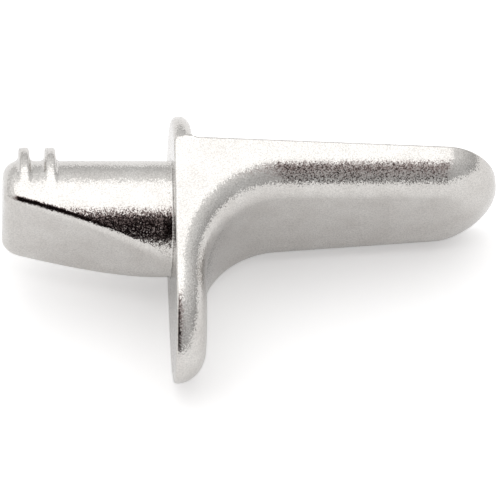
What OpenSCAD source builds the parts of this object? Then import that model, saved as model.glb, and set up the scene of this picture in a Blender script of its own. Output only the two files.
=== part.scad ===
// Shelf support pin, die-cast in one piece.
// The peg goes into a 5 mm hole in a cabinet side, the flange stops against the
// panel, and the shelf rests on the flat upper face of the arm.
// Frame: origin on the peg axis at the back face of the flange, +X along the
// arm, -X into the panel, +Z towards the shelf. The piece is symmetric about y = 0.

/* [Peg] */
// Diameter of the peg, which is that of the standard hole
peg_d = 5; // [4:0.1:7]
// Length of the peg from the back face of the flange to its tip
peg_len = 7.2; // [6:0.1:14]
// Radius of the rounded edge at the tip of the peg
peg_tip_r = 0.7; // [0.2:0.05:1]
// Slope of the long flat under the peg
flat_angle = 17; // [6:0.2:18]
// Distance from the flange to the point where that flat runs out
flat_end = 0.16; // [0.1:0.02:1]

/* [Crush fins] */
// Number of crescent fins on top of the peg
fin_count = 2; // [0:1:3]
// Distance from the tip of the peg to the middle of the first fin
fin_start = 0.9; // [0.9:0.05:1.5]
// Distance from the middle of one fin to the middle of the next
fin_pitch = 1.12; // [0.8:0.02:1.6]
// Thickness of a fin at its crest
fin_t = 0.46; // [0.3:0.02:0.6]
// Radius of the two rounded edges of that crest
fin_edge_r = 0.14; // [0.06:0.02:0.14]
// How much thicker a fin is at its foot than at its crest
fin_flare = 0.1; // [0:0.05:0.3]
// How far the middle of a fin stands above the peg
fin_rise = 0.66; // [0.3:0.02:0.9]

/* [Arm] */
// Height of the shelf face above the peg axis
seat_z = 1.77; // [1:0.05:2.4]
// Distance from the back face of the flange to the end of the arm
arm_reach = 14.1; // [12:0.1:22]
// Thickness of the arm where it leaves the inner fillet
arm_t = 2; // [1.7:0.05:3]
// Slope at which the underside of the arm rises towards its end
arm_rise = 2.4; // [0:0.2:3]
// Angle by which each side of the arm leans in towards its end
arm_taper = 4.2; // [0:0.2:6]
// Length of the rounded end of the arm
arm_end_len = 2.35; // [2:0.05:4]
// Radius of the rounded edges along the underside of the arm
arm_edge_r = 1.3; // [0.6:0.05:1.5]
// How far those rounded edges reach in over the underside at the tip of the arm
tip_edge_w = 2.5; // [1:0.05:2.6]
// How deep they are there
tip_edge_d = 1.25; // [0.6:0.05:1.4]

/* [Flange] */
// Width of the flange and of the root of the arm at the shelf face
flange_w = 8.2; // [7:0.1:10]
// Angle by which each side leans in from the shelf face downwards
side_draft = 9.5; // [0:0.1:10]
// Thickness of the round flange above the arm
flange_t = 0.82; // [0.7:0.02:1.2]
// Radius of the rounded front edge of the flange above the arm
flange_edge_r = 0.5; // [0.2:0.05:0.6]
// Depth of the bottom of the flange below the peg axis
flange_bottom = 7.75; // [7.2:0.05:10]
// Thickness of the flange below the arm
leg_t = 1.36; // [1.25:0.02:2]
// Length of the rounded end at the bottom of the flange
leg_end_len = 3.2; // [2:0.1:3.2]
// How far the rounded front edge reaches in over the flange below the arm
leg_edge_w = 1.45; // [0.8:0.05:1.8]
// How deep that rounded edge cuts into the thickness of the flange
leg_edge_d = 1.15; // [0.6:0.05:1.2]

/* [Inner fillet] */
// Length of the large inner fillet along the arm
fillet_x = 3.4; // [3:0.1:6]
// Height of the large inner fillet along the flange
fillet_z = 3.5; // [2.6:0.1:4.4]

/* [Hidden] */
$fn = 96;
nickel = [0.72, 0.71, 0.69];
// Steps along a rounded end, along the inner fillet and across a rounded edge
end_steps = 9;
fillet_steps = 14;
edge_steps = 8;
// Places across the flat middle of the tongue, as shares of half that middle
middle_row = [-0.5, 0, 0.5];
// Largest share of the half-width that a rounded edge may take
edge_limit = 0.9;
// Depth by which one part of the casting runs into the next
bite = 0.4;
// How far the cutters stand out beyond what they cut
over = 1;
// Angle around a rounded end at which a small flat closes it
tip_angle = 84;
// Straight part that always stays between the inner fillet and the rounded end below
leg_straight = 0.1;

peg_r = peg_d / 2;
// The round flange passes through the two long edges of the shelf face
flange_r = norm([flange_w / 2, seat_z]);
fillet_end_x = leg_t + fillet_x;
arm_end_x = arm_reach - arm_end_len;
leg_end_z = leg_end_len - flange_bottom;
// The straight part of the leg limits how far down the inner fillet can reach
fillet_height = min(fillet_z, under_z(leg_t) - leg_end_z - leg_straight);

// Half-width of the flat, leaning side face at a point of the side view
function side_y(x, z) = flange_w / 2 - x * tan(arm_taper) - (seat_z - z) * tan(side_draft);

// Height of the underside of the arm
function under_z(x) = seat_z - arm_t + (x - fillet_end_x) * tan(arm_rise);

// The arm, the inner fillet and the lower flange are one tongue. Its inner skin
// follows a line in the side view, and a station on that line holds: its place
// [x, z], the direction [x, z] into the metal, its angle around a rounded end (0
// along the tongue, 90 at the very tip), the depth and width of the rounded edge
// there, and its partner [x, z] on the shelf face or on the back face.
function arm_station(angle) =
    let(share = sin(angle), x = arm_end_x + arm_end_len * share)
    [[x, under_z(x)], [0, 1], angle,
     arm_edge_r + share * (tip_edge_d - arm_edge_r),
     arm_edge_r + share * (tip_edge_w - arm_edge_r),
     [x, seat_z]];

function leg_station(angle) =
    let(z = leg_end_z - leg_end_len * sin(angle))
    [[leg_t, z], [-1, 0], angle, leg_edge_d, leg_edge_w, [0, z]];

function fillet_station(share) =
    let(angle = 90 + 90 * share)
    let(x = fillet_end_x + fillet_x * cos(angle))
    let(inward = [cos(angle) / fillet_x, sin(angle) / fillet_height])
    [[x, under_z(x) - fillet_height * (1 - sin(angle))], inward / norm(inward), 0,
     arm_edge_r + share * (leg_edge_d - arm_edge_r),
     arm_edge_r + share * (leg_edge_w - arm_edge_r),
     fillet_partner(share)];

// The first half of the fillet faces the shelf face, the second half the back face
function fillet_partner(share) = share < 0.5
    ? [fillet_end_x * (1 - 2 * share), seat_z]
    : [0, seat_z + (2 * share - 1) * (under_z(leg_t) - fillet_height - seat_z)];

stations = concat(
    [for (i = [0:end_steps]) arm_station(tip_angle * (1 - i / end_steps))],
    [for (i = [0:fillet_steps]) fillet_station(i / fillet_steps)],
    [for (i = [0:end_steps]) leg_station(tip_angle * i / end_steps)]);

// Places across the tongue, from -1 to 1, close together over the rounded edges
widest_edge = max(arm_edge_r, leg_edge_w, tip_edge_w);
edge_share = min(edge_limit, widest_edge / side_y(arm_end_x, under_z(arm_end_x)));
edge_row = [for (i = [0:edge_steps]) 1 - edge_share * (1 - sin(90 * i / edge_steps))];
row = concat(
    [for (i = [edge_steps:-1:0]) -edge_row[i]],
    (1 - edge_share) * middle_row,
    edge_row);

// Height of a rounded edge of depth d and width w at a distance from the outline
function edge_height(dist, d, w) =
    dist >= w ? 0 : d * (1 - sqrt(1 - pow(1 - max(dist, 0) / w, 2)));

// Distance of a place on the tongue from its outline
function outline_dist(s, u) = (1 - norm([sin(s[2]), cos(s[2]) * u])) * side_y(s[0][0], s[0][1]);

// Point of the tongue at p in the side view, at place u across it
function tongue_point(s, p, u) = [p[0], u * cos(s[2]) * side_y(p[0], p[1]), p[1]];

function tongue_ring(s) = concat(
    [for (u = row) let(h = edge_height(outline_dist(s, u), s[3], s[4]))
        tongue_point(s, s[0] + h * s[1], u)],
    [for (u = [1, -1]) tongue_point(s, s[5], u)]);

// Skin through rings of equal length, closed at both ends
module loft(rings) {
    n = len(rings[0]);
    last = (len(rings) - 1) * n;
    walls = [for (i = [0:n:last - 1], j = [0:n - 1]) let(k = (j + 1) % n)
        each [[i + j, i + k, i + k + n], [i + j, i + k + n, i + j + n]]];
    first_end = [for (j = [n - 1:-1:0]) j];
    last_end = [for (j = [0:n - 1]) last + j];
    polyhedron(points = [for (r = rings) each r], faces = concat(walls, [first_end, last_end]));
}

// Arm, inner fillet and lower flange
module tongue() {
    loft([for (s = stations) tongue_ring(s)]);
}

// Half section of a round bar from its axis, with a rounded edge at the far end
module rounded_end(r, len, edge_r) {
    square([r - edge_r, len]);
    square([r, len - edge_r]);
    translate([r - edge_r, len - edge_r]) intersection() {
        circle(r = edge_r);
        square(edge_r);
    }
}

// Part of the round flange that stands above the shelf face
module cap() {
    intersection() {
        rotate([0, 90, 0]) rotate_extrude() rounded_end(flange_r, flange_t, flange_edge_r);
        translate([-over, -flange_w, seat_z]) cube([2 * flange_w, 2 * flange_w, flange_w]);
    }
}

// Peg with a rounded tip edge
module peg() {
    translate([bite, 0, 0]) rotate([0, -90, 0])
        rotate_extrude() rounded_end(peg_r, peg_len + bite, peg_tip_r);
}

// Crescent fin: a disc with a rounded crest, set above the peg axis
module fin() {
    shoulder = peg_r - fin_edge_r;
    crest = fin_t / 2;
    foot = crest + fin_flare / 2;
    translate([0, 0, fin_rise]) rotate([0, 90, 0]) rotate_extrude() {
        polygon([[0, -foot], [shoulder - fin_rise, -foot], [shoulder, -crest],
            [shoulder, crest], [shoulder - fin_rise, foot], [0, foot]]);
        translate([shoulder, fin_edge_r - crest]) square([fin_edge_r, fin_t - 2 * fin_edge_r]);
        for (side = [0, 1]) mirror([0, side]) translate([shoulder, crest - fin_edge_r]) intersection() {
            circle(r = fin_edge_r);
            square(fin_edge_r);
        }
    }
}

// What the long flat under the peg takes away
module peg_flat() {
    translate([-flat_end, 0, -peg_r]) rotate([0, flat_angle, 0])
        translate([-2 * peg_len, -peg_d, -peg_d]) cube([2 * peg_len + over, 2 * peg_d, peg_d]);
}

module shelf_pin() {
    color(nickel) union() {
        difference() {
            union() {
                peg();
                for (i = [0:1:fin_count - 1])
                    translate([fin_start + i * fin_pitch - peg_len, 0, 0]) fin();
            }
            peg_flat();
        }
        tongue();
        cap();
    }
}

shelf_pin();
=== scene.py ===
"""Shelf support pin: one die casting with a satin nickel finish, lying on a pale table."""
import math

import bpy
import numpy as np
from mathutils import Matrix, Vector


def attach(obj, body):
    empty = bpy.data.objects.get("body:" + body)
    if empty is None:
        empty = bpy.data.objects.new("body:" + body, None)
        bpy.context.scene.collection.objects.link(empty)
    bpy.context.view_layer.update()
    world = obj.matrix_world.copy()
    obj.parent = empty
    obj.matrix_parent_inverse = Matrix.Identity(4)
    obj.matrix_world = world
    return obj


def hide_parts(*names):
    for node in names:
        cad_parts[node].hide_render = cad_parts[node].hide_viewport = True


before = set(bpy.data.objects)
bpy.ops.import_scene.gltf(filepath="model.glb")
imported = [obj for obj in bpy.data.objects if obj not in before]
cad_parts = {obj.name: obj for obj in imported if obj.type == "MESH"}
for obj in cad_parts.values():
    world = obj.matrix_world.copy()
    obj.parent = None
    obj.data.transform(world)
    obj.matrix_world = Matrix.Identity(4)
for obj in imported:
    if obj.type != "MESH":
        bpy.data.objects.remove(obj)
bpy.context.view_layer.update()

MM = 0.001  # one millimetre in metres: the form below is worked out in millimetres

# ---------------------------------------------------------------- sizes, in mm
# The same driving sizes as in the part's source
PEG_R, PEG_LEN, PEG_TIP_R = 2.5, 7.2, 0.7
FLAT_SLOPE, FLAT_END = math.tan(math.radians(17.0)), 0.16
FIN_COUNT, FIN_START, FIN_PITCH, FIN_RISE = 2, 0.9, 1.12, 0.66
FIN_T, FIN_EDGE_R, FIN_FLARE = 0.46, 0.14, 0.1
SEAT_Z, ARM_REACH, ARM_T, ARM_END_LEN = 1.77, 14.1, 2.0, 2.35
ARM_RISE, ARM_TAPER = math.tan(math.radians(2.4)), math.tan(math.radians(4.2))
SIDE_DRAFT = math.tan(math.radians(9.5))
FLANGE_W, FLANGE_T, FLANGE_EDGE_R, FLANGE_BOTTOM = 8.2, 0.82, 0.5, 7.75
LEG_T, LEG_END_LEN = 1.36, 3.2
FILLET_X, FILLET_Z = 3.4, 3.5

# Large rounded edges of the inner skin: how far in they reach (W) and how deep they are (D)
ARM_EDGE_R = 1.3
LEG_EDGE_W, LEG_EDGE_D = 1.45, 1.15
TIP_EDGE_W, TIP_EDGE_D = 2.5, 1.25

# The round flange meets the long edges of the shelf face at its own front face
FLANGE_R = math.hypot(FLANGE_W / 2 - FLANGE_T * ARM_TAPER, SEAT_Z)
FILLET_END_X = LEG_T + FILLET_X
ARM_END_X = ARM_REACH - ARM_END_LEN
LEG_END_Z = LEG_END_LEN - FLANGE_BOTTOM

# Small radii and depths that the solid model leaves out
CREASE_R, CREASE_TIP_R = 0.12, 0.36  # along the flat of the peg, at the root and at the tip
RIM_R = 0.12         # around the back of the flange
CAP_RIM_R = 0.32     # around the back of the flange's round top
CAP_RIM_START = 0.4  # the rim starts to widen this far below the shelf face
SEAT_EDGE_R = 0.12   # along the shelf face
ROOT_R = 0.06        # inside corner at the root of the peg
FIN_ROOT_R = 0.15    # inside corners at the feet of the fins
SEAT_ROOT_R = 0.12   # inside corner between the shelf face and the flange
LEG_TIP_EDGE = 0.10  # how much deeper the rounded edge is around the bottom of the flange
LEG_TIP_RUN = 0.5    # share of the rounded end over which it gets that deep

MIN_HALF_W = 0.2     # keeps the two side faces apart far below the piece
SMALL, TINY = 1e-6, 1e-9  # keep divisions away from zero

VOXEL = 0.08         # size of the skin's first facets
SETTLE_ROUNDS = 4    # times the skin is evened out and drawn onto the form

# ---------------------------------------------------------------- finish, in metres
FACET_SIZE = 0.000045         # width of one grain of the sandy surface
FACET_LEAN = 0.165            # how far a grain's face may lean
CELL_MIDDLE = (0.5, 0.5, 0.5)  # middle of the random cell colours that make the grains lean
WAVE_SIZE = 0.00025           # gentle unevenness under the grain
WAVE_HEIGHT = 0.000005
SPECKLE_SIZE = 0.00006        # small dull specks
SPECKLE_SHADE = 0.76          # how much light the dullest of them still return
SPECKLE_RANGE = (0.35, 0.62)  # noise values from the dullest speck to the clear metal
ROUGH_RANGE = (0.3, 0.7)      # noise values from the roughest speck to the smooth metal
ROUGH_LOW, ROUGH_HIGH = 0.09, 0.15
CLOUD_SIZE = 0.0012           # faint cloudy mottling
CLOUD_RANGE = (0.3, 0.7)      # noise values from its darkest to its lightest places
TINT_DARK = (0.66, 0.637, 0.610, 1)
TINT_LIGHT = (0.74, 0.723, 0.697, 1)

# ---------------------------------------------------------------- studio
CAM_AZIMUTH, CAM_ELEVATION, CAM_ROLL = -4.4, -29.5, -2.17  # degrees
CAM_LENS, CAM_SENSOR = 400.0, 36.0  # a long lens, so that sizes barely change with depth
PX_PER_MM = 23.3       # scale of the picture at the root of the peg
IMAGE = 500            # width and height of the picture in pixels
AIM = (3.412, -1.33)   # how far right of and above that root the camera aims, in mm

TABLE_SIZE = 2.4
TABLE_WHITE = 0.88
LIFT_SEEN = 0.35       # added for the camera, so that the lit card is white
LIFT_REFLECTED = 0.17  # added in reflections

# The pale room in reflections. Directions run from -1 to 1 along up, left and front.
WHITE = (1, 1, 1, 1)
ROOM_LEVEL = 0.40      # before anything is added
ROOM_UP = 0.80         # added toward the top, and taken away toward the bottom
ROOM_FRONT = -0.17     # the same toward the front and the back
ROOM_LEFT = 0.15       # the same toward the left and the right
ROOM_SIDES = 0.18      # added toward both sides

# The one dark place in it. Each pair runs from where it is not seen to where it is full.
DARK_COLOR = (0.004, 0.002, 0.002, 1)
DARK_EDGE = (1.0, 0.72, 0.70, 1)  # tint of the room where it fades into the dark place
DARK_RIGHT = (-0.56, -0.10)       # its right edge
DARK_LEFT = (0.95, 0.45)          # its left edge
DARK_FRONT = (0.25, 0.60)         # its top edge, some way down from straight overhead
DARK_SILL = (0.0, 0.2)            # its lower edge, a little above the table
DARK_STEP = (-0.16, -0.25)        # from here rightward the lower edge fades in steps instead:
DARK_STEPS = ((0.22, 0.0), (0.34, 0.5), (0.40, 0.45), (0.46, 0.05), (0.52, 0.55), (0.60, 1.0))
STEP_GLOW = 0.25                  # how much paler the room is under those steps
STEP_GLOW_EDGE = (0.45, 0.1)      # where that glow starts and where it is full


# ---------------------------------------------------------------- form
# Points p have rows x, y and z. Each function gives a distance-like value at them: negative
# inside, zero on the surface.
def round_cut(a, b, r):
    """Intersection of two forms, with the edge between them rounded to radius r."""
    outside = np.hypot(np.maximum(a + r, 0), np.maximum(b + r, 0))
    return outside + np.minimum(np.maximum(a, b), -r)


def round_join(a, b, r):
    """Union of two forms, with the inside corner between them filled to radius r."""
    return -round_cut(-a, -b, r)


def side_y(x, z):
    """Half-width of the piece between its flat, leaning side faces."""
    return FLANGE_W / 2 - x * ARM_TAPER - (SEAT_Z - z) * SIDE_DRAFT


def peg(p):
    """Round bar with a rounded tip, which ends inside the flange."""
    across = np.hypot(p[1], p[2]) - PEG_R
    bar = round_cut(across, -PEG_LEN - p[0], PEG_TIP_R)
    return np.maximum(bar, p[0] - LEG_T / 2)


def fins(p):
    """Crescent crush fins: discs set above the peg's axis, thicker at the foot."""
    across = np.hypot(p[1], p[2] - FIN_RISE)
    shoulder = PEG_R - FIN_EDGE_R
    flare = np.clip((shoulder - across) / FIN_RISE, 0, 1) * FIN_FLARE / 2
    joined = None
    for i in range(FIN_COUNT):
        along = np.abs(p[0] - (FIN_START + i * FIN_PITCH - PEG_LEN))
        fin = round_cut(along - FIN_T / 2 - flare, across - PEG_R, FIN_EDGE_R)
        joined = fin if joined is None else np.minimum(joined, fin)
    return joined


def peg_flat(p):
    """Positive under the long flat of the peg."""
    return (-PEG_R - (p[0] + FLAT_END) * FLAT_SLOPE - p[2]) / math.hypot(1, FLAT_SLOPE)


def skin_depth(p):
    """Depth below the inner skin of arm, fillet and leg, and its share from arm to leg."""
    under = SEAT_Z - ARM_T + (p[0] - FILLET_END_X) * ARM_RISE
    u = np.maximum(FILLET_END_X - p[0], 0)
    w = np.maximum(p[2] - under + FILLET_Z, 0)
    ring = np.sqrt((u / FILLET_X) ** 2 + (w / FILLET_Z) ** 2) + TINY
    slope = np.hypot(u / FILLET_X**2, w / FILLET_Z**2) / ring + TINY
    share = np.arctan2(u / FILLET_X, w / FILLET_Z) / (math.pi / 2)
    return (ring - 1) / slope, share


def outline_depth(p):
    """Distance past the outline of the tongue, and how far into the two rounded ends p is."""
    half = np.maximum(side_y(p[0], p[2]), MIN_HALF_W)
    ex = np.maximum(p[0] - ARM_END_X, 0) / ARM_END_LEN
    ez = np.maximum(LEG_END_Z - p[2], 0) / LEG_END_LEN
    y = np.abs(p[1]) / half
    ring = np.sqrt(ex**2 + ez**2 + y**2) + SMALL
    slope = np.sqrt((ex / ARM_END_LEN) ** 2 + (ez / LEG_END_LEN) ** 2 + (y / half) ** 2) / ring
    return (ring - 1) / np.maximum(slope, 1 / FLANGE_W), ex, ez


def tongue(p):
    """Arm, inner fillet and leg, with the large rounded edge all around the inner skin."""
    out, ex, ez = outline_depth(p)
    depth, share = skin_depth(p)
    deeper = LEG_TIP_EDGE * np.minimum(ez / LEG_TIP_RUN, 1)
    edge_w = ARM_EDGE_R + share * (LEG_EDGE_W - ARM_EDGE_R)
    edge_d = ARM_EDGE_R + share * (LEG_EDGE_D - ARM_EDGE_R) + deeper
    edge_w += (TIP_EDGE_W - ARM_EDGE_R) * np.minimum(ex, 1)
    edge_d += (TIP_EDGE_D - ARM_EDGE_R) * np.minimum(ex, 1)
    body = round_cut(out, -depth * edge_w / edge_d, edge_w)
    return round_cut(body, p[2] - SEAT_Z, SEAT_EDGE_R)


def cap(p):
    """Round flange above the shelf face, with the small inside corner in front of it."""
    across = np.hypot(p[1], p[2]) - FLANGE_R
    disc = round_cut(across, p[0] - FLANGE_T, FLANGE_EDGE_R)
    disc = np.maximum(disc, -p[2])
    corner = round_join(p[0] - FLANGE_T, p[2] - SEAT_Z, SEAT_ROOT_R)
    corner = np.maximum(corner, np.maximum(p[0] - FLANGE_T, p[2] - SEAT_Z) - SEAT_ROOT_R)
    corner = np.maximum(np.maximum(corner, across), -p[2])
    return np.maximum(np.minimum(disc, corner), np.abs(p[1]) - side_y(p[0], p[2]))


def form(p):
    """The whole casting."""
    plate = np.minimum(tongue(p), cap(p))
    widening = np.clip((p[2] - SEAT_Z) / CAP_RIM_START + 1, 0, 1) ** 2
    plate = round_cut(plate, -p[0], RIM_R + (CAP_RIM_R - RIM_R) * widening)
    bar = round_join(peg(p), fins(p), FIN_ROOT_R)
    crease = CREASE_R + (CREASE_TIP_R - CREASE_R) * np.clip(-p[0] / PEG_LEN, 0, 1)
    bar = round_cut(bar, peg_flat(p), crease)
    return round_join(plate, bar, ROOT_R)


def form_slope(p, step=0.002):
    """Slope of the form along each axis, which points straight out of the surface."""
    slope = np.empty_like(p)
    for axis in range(3):
        shift = np.zeros((3, 1))
        shift[axis] = step
        slope[axis] = (form(p + shift) - form(p - shift)) / (2 * step)
    return slope


def onto_form(p, rounds=3, reach=0.15):
    """Points moved along the slope of the form until they lie on its surface."""
    for _ in range(rounds):
        slope = form_slope(p)
        move = form(p) * slope / np.maximum((slope**2).sum(0), SMALL)
        length = np.maximum(np.sqrt((move**2).sum(0)), TINY)
        p = p - move * np.minimum(1, reach / length)
    return p


# ---------------------------------------------------------------- skin
def remeshed_copy(node):
    """Even, closed mesh around a node's solid, in millimetres."""
    mesh = node.data.copy()
    mesh.transform(Matrix.Scale(1 / MM, 4))
    skin = bpy.data.objects.new("casting", mesh)
    bpy.context.collection.objects.link(skin)
    remesh = skin.modifiers.new("remesh", "REMESH")
    remesh.mode = "VOXEL"
    remesh.voxel_size = VOXEL
    evaluated = skin.evaluated_get(bpy.context.evaluated_depsgraph_get())
    skin.data = bpy.data.meshes.new_from_object(evaluated)
    skin.modifiers.clear()
    return skin


def settled_points(mesh):
    """The mesh's points drawn onto the form and evened out between their neighbours."""
    count = len(mesh.vertices)
    p = np.empty(count * 3)
    mesh.vertices.foreach_get("co", p)
    p = p.reshape(-1, 3).T
    ends = np.empty(len(mesh.edges) * 2, dtype=np.int64)
    mesh.edges.foreach_get("vertices", ends)
    a, b = ends.reshape(-1, 2).T
    links = np.bincount(np.concatenate([a, b]), minlength=count)
    p = onto_form(p)
    for _ in range(SETTLE_ROUNDS):
        middle = np.stack([
            np.bincount(a, q[b], count) + np.bincount(b, q[a], count) for q in p]) / links
        p = onto_form((p + middle) / 2, rounds=2)
    return p


def fine_skin(node):
    """The casting's skin: the solid's own closed mesh, remeshed finely and drawn onto the form."""
    skin = remeshed_copy(node)
    mesh = skin.data
    p = settled_points(mesh)
    normals = form_slope(p)
    normals /= np.sqrt((normals**2).sum(0))
    mesh.vertices.foreach_set("co", (p.T * MM).ravel())
    mesh.update()
    mesh.shade_smooth()
    mesh.normals_split_custom_set_from_vertices(normals.T)
    mesh.materials.clear()
    return skin


# ---------------------------------------------------------------- materials
class Nodes:
    """Short way to add and link shader nodes."""

    def __init__(self, tree):
        self.tree = tree
        tree.nodes.clear()

    def add(self, kind, values=None, **settings):
        node = self.tree.nodes.new(kind)
        for name, value in settings.items():
            setattr(node, name, value)
        for socket, value in (values or {}).items():
            self.set(node.inputs[socket], value)
        return node

    def set(self, socket, value):
        if isinstance(value, bpy.types.NodeSocket):
            self.tree.links.new(value, socket)
        else:
            socket.default_value = value

    def math(self, operation, *values):
        node = self.add("ShaderNodeMath", dict(enumerate(values)), operation=operation)
        return node.outputs["Value"]

    def dot(self, vector, axis):
        inputs = {0: vector, 1: tuple(axis)}
        node = self.add("ShaderNodeVectorMath", inputs, operation="DOT_PRODUCT")
        return node.outputs["Value"]

    def vector(self, operation, *values, **sockets):
        inputs = {**dict(enumerate(values)), **sockets}
        return self.add("ShaderNodeVectorMath", inputs, operation=operation).outputs["Vector"]

    def ramp(self, value, low, high, to_low=0.0, to_high=1.0, shape="LINEAR"):
        inputs = {"Value": value, "From Min": low, "From Max": high}
        inputs.update({"To Min": to_low, "To Max": to_high})
        return self.add("ShaderNodeMapRange", inputs, interpolation_type=shape).outputs["Result"]

    def smooth(self, value, low, high):
        return self.ramp(value, low, high, shape="SMOOTHSTEP")

    def profile(self, value, stops):
        """Height at a value, along straight lines between (place, height) stops."""
        node = self.add("ShaderNodeValToRGB", {"Fac": value})
        points = node.color_ramp.elements
        while len(points) < len(stops):
            points.new(0.5)  # only until it gets its own place below
        for point, (place, height) in zip(points, stops):
            point.position = place
            point.color = (height, height, height, 1)
        return node.outputs["Color"]

    def noise(self, place, size, detail, roughness):
        inputs = {"Vector": place, "Scale": 1 / size, "Detail": detail, "Roughness": roughness}
        return self.add("ShaderNodeTexNoise", inputs).outputs["Fac"]

    def mix_colors(self, factor, a, b):
        """The mix node's colour sockets are 6 and 7, and its colour output is 2."""
        return self.add("ShaderNodeMix", {0: factor, 6: a, 7: b}, data_type="RGBA").outputs[2]


def nickel():
    """Satin nickel over a tumbled casting: fine glinting facets, dull specks, faint mottling."""
    material = bpy.data.materials.new("satin_nickel")
    material.use_nodes = True
    n = Nodes(material.node_tree)
    place = n.add("ShaderNodeTexCoord").outputs["Object"]
    speckle = n.noise(place, SPECKLE_SIZE, detail=2.0, roughness=0.7)
    cloud = n.noise(place, CLOUD_SIZE, detail=3.0, roughness=0.55)
    waves = n.noise(place, WAVE_SIZE, detail=2.0, roughness=0.6)

    tint = n.mix_colors(n.ramp(cloud, *CLOUD_RANGE), TINT_DARK, TINT_LIGHT)
    shade = n.ramp(speckle, *SPECKLE_RANGE, SPECKLE_SHADE, 1.0)
    color = n.vector("SCALE", tint, Scale=shade)
    rough = n.ramp(speckle, *ROUGH_RANGE, ROUGH_HIGH, ROUGH_LOW)

    wavy = n.add("ShaderNodeBump", {"Height": waves, "Strength": 1.0, "Distance": WAVE_HEIGHT})
    cells = n.add("ShaderNodeTexVoronoi", {"Vector": place, "Scale": 1 / FACET_SIZE})
    lean = n.vector("SUBTRACT", cells.outputs["Color"], CELL_MIDDLE)
    lean = n.vector("SCALE", lean, Scale=FACET_LEAN)
    facets = n.vector("NORMALIZE", n.vector("ADD", wavy.outputs["Normal"], lean))
    shader = n.add("ShaderNodeBsdfPrincipled", {
        "Metallic": 1.0,
        "Base Color": color,
        "Roughness": rough,
        "Normal": facets,
    })
    n.add("ShaderNodeOutputMaterial", {"Surface": shader.outputs["BSDF"]})
    return material


def pale_table():
    """White card that keeps its shadows, seen from above only: from below it hides nothing."""
    material = bpy.data.materials.new("pale_table")
    material.use_nodes = True
    n = Nodes(material.node_tree)
    card = n.add("ShaderNodeBsdfDiffuse", {"Color": (TABLE_WHITE, TABLE_WHITE, TABLE_WHITE, 1)})
    path = n.add("ShaderNodeLightPath")
    reflected = n.math("MULTIPLY", path.outputs["Is Glossy Ray"], LIFT_REFLECTED)
    lift = n.add("ShaderNodeEmission", {
        "Strength": n.math("MULTIPLY_ADD", path.outputs["Is Camera Ray"], LIFT_SEEN, reflected),
    })
    top = n.add("ShaderNodeAddShader", {0: card.outputs[0], 1: lift.outputs[0]})
    clear = n.add("ShaderNodeBsdfTransparent")
    below = n.add("ShaderNodeNewGeometry").outputs["Backfacing"]
    shown = n.add("ShaderNodeMixShader", {0: below, 1: top.outputs[0], 2: clear.outputs[0]})
    n.add("ShaderNodeOutputMaterial", {"Surface": shown.outputs[0]})
    return material


# ---------------------------------------------------------------- studio
class Studio:
    """Directions that the camera, the table, the lamp and the room are laid out by."""

    def __init__(self):
        angles = (CAM_AZIMUTH, CAM_ELEVATION, CAM_ROLL)
        azimuth, elevation, roll = (math.radians(angle) for angle in angles)
        flat = math.cos(elevation)
        aside, toward_viewer = math.sin(azimuth) * flat, -math.cos(azimuth) * flat
        self.back = Vector((aside, toward_viewer, math.sin(elevation)))
        level = Vector((0, 0, 1)).cross(self.back).normalized()
        self.right = Matrix.Rotation(roll, 3, self.back) @ level
        self.above = self.back.cross(self.right)
        # The piece lies on one flat side face, so the table's normal is minus that face's normal.
        self.up = -Vector((ARM_TAPER, 1, -SIDE_DRAFT)).normalized()
        self.front = (self.back - self.up * self.back.dot(self.up)).normalized()
        self.left = self.front.cross(self.up)


def frame_of(x, y, z, place):
    """Matrix of an object at a place, with its own axes along x, y and z."""
    return Matrix.Translation(place) @ Matrix((x, y, z)).transposed().to_4x4()


def add_camera(studio):
    data = bpy.data.cameras.new("camera")
    data.lens = CAM_LENS
    data.sensor_width = CAM_SENSOR
    data.clip_start = 0.01
    data.clip_end = 10
    distance = IMAGE / PX_PER_MM * MM * CAM_LENS / CAM_SENSOR
    aim = (studio.right * AIM[0] + studio.above * AIM[1]) * MM
    place = aim + studio.back * distance
    camera = bpy.data.objects.new("camera", data)
    camera.matrix_world = frame_of(studio.right, studio.above, studio.back, place)
    bpy.context.collection.objects.link(camera)
    bpy.context.scene.camera = camera


def add_table(studio, piece):
    """Plane under the lowest point of the piece as it lies."""
    half = TABLE_SIZE / 2
    corners = [(-half, -half, 0), (half, -half, 0), (half, half, 0), (-half, half, 0)]
    mesh = bpy.data.meshes.new("table")
    mesh.from_pydata(corners, [], [(0, 1, 2, 3)])
    mesh.materials.append(pale_table())
    table = bpy.data.objects.new("table", mesh)
    low = min(v.co.dot(studio.up) for v in piece.data.vertices)
    table.matrix_world = frame_of(-studio.left, -studio.front, studio.up, studio.up * low)
    bpy.context.collection.objects.link(table)


def add_softbox(studio, name, behind, distance, size, radiance):
    """Area lamp square on to the piece, so many degrees behind straight overhead."""
    toward = (studio.up - studio.front * math.tan(math.radians(behind))).normalized()
    across = toward.cross(studio.front).normalized()
    data = bpy.data.lights.new(name, "AREA")
    data.shape = "RECTANGLE"
    data.size, data.size_y = size
    data.energy = radiance * math.pi * size[0] * size[1]
    lamp = bpy.data.objects.new(name, data)
    lamp.matrix_world = frame_of(across, toward.cross(across), toward, toward * distance)
    lamp.visible_camera = False
    bpy.context.collection.objects.link(lamp)


def room_level(n, up, left, front):
    """Brightness of the pale room: more toward the top, the back, the left and both sides."""
    pale = n.math("MULTIPLY_ADD", up, ROOM_UP, ROOM_LEVEL)
    pale = n.math("MULTIPLY_ADD", front, ROOM_FRONT, pale)
    pale = n.math("MULTIPLY_ADD", left, ROOM_LEFT, pale)
    return n.math("MULTIPLY_ADD", n.math("MULTIPLY", left, left), ROOM_SIDES, pale)


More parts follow.
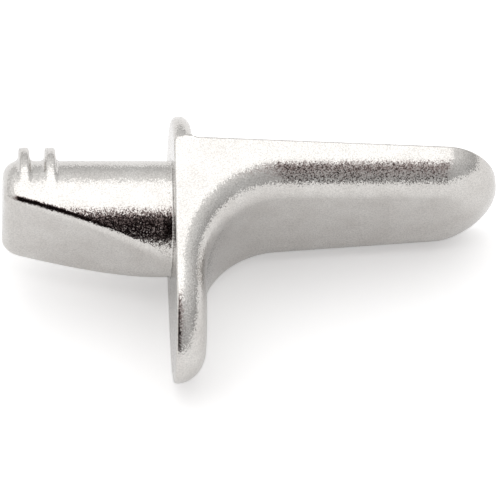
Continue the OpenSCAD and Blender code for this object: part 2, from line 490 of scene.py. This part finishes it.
def dark_place(n, up, left, front):
    """How dark the one dark place in front is, and how strong the glow under its steps is."""
    right_edge = n.smooth(left, *DARK_RIGHT)
    left_edge = n.smooth(left, *DARK_LEFT)
    near = n.smooth(front, *DARK_FRONT)
    plain_sill = n.smooth(up, *DARK_SILL)
    stepped_sill = n.profile(up, DARK_STEPS)
    step = n.math("SUBTRACT", stepped_sill, plain_sill)
    stepped = n.smooth(left, *DARK_STEP)
    sill = n.math("MULTIPLY_ADD", stepped, step, plain_sill)
    below = n.math("MULTIPLY", near, n.ramp(up, *STEP_GLOW_EDGE))
    glow = n.math("MULTIPLY", stepped, below)
    sides = n.math("MULTIPLY", right_edge, left_edge)
    return n.math("MULTIPLY", sides, n.math("MULTIPLY", near, sill)), glow


def add_room(studio):
    """White behind the table, and in reflections a pale room with one dark place in front."""
    world = bpy.data.worlds.new("room")
    bpy.context.scene.world = world
    world.use_nodes = True
    n = Nodes(world.node_tree)
    direction = n.add("ShaderNodeTexCoord").outputs["Generated"]
    up, left, front = (n.dot(direction, axis) for axis in (studio.up, studio.left, studio.front))
    dark, glow = dark_place(n, up, left, front)
    pale = n.math("MULTIPLY_ADD", glow, STEP_GLOW, room_level(n, up, left, front))
    tinted = n.mix_colors(dark, WHITE, DARK_EDGE)
    color = n.mix_colors(dark, n.vector("SCALE", tinted, Scale=pale), DARK_COLOR)
    room = n.add("ShaderNodeBackground", {"Color": color, "Strength": 1.0})
    white = n.add("ShaderNodeBackground", {"Color": WHITE, "Strength": 1.0})
    camera_ray = n.add("ShaderNodeLightPath").outputs["Is Camera Ray"]
    mix = n.add("ShaderNodeMixShader", {0: camera_ray, 1: room.outputs[0], 2: white.outputs[0]})
    n.add("ShaderNodeOutputWorld", {"Surface": mix.outputs[0]})


# ---------------------------------------------------------------- scene
studio = Studio()
add_camera(studio)
skin = fine_skin(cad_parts["shelf_pin"])
skin.data.materials.append(nickel())
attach(skin, "root")
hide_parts("shelf_pin")

add_table(studio, skin)
add_room(studio)
add_softbox(studio, "overhead_softbox", behind=9, distance=1.2, size=(1.45, 1.56), radiance=0.52)
bpy.context.scene.view_settings.view_transform = "Standard"
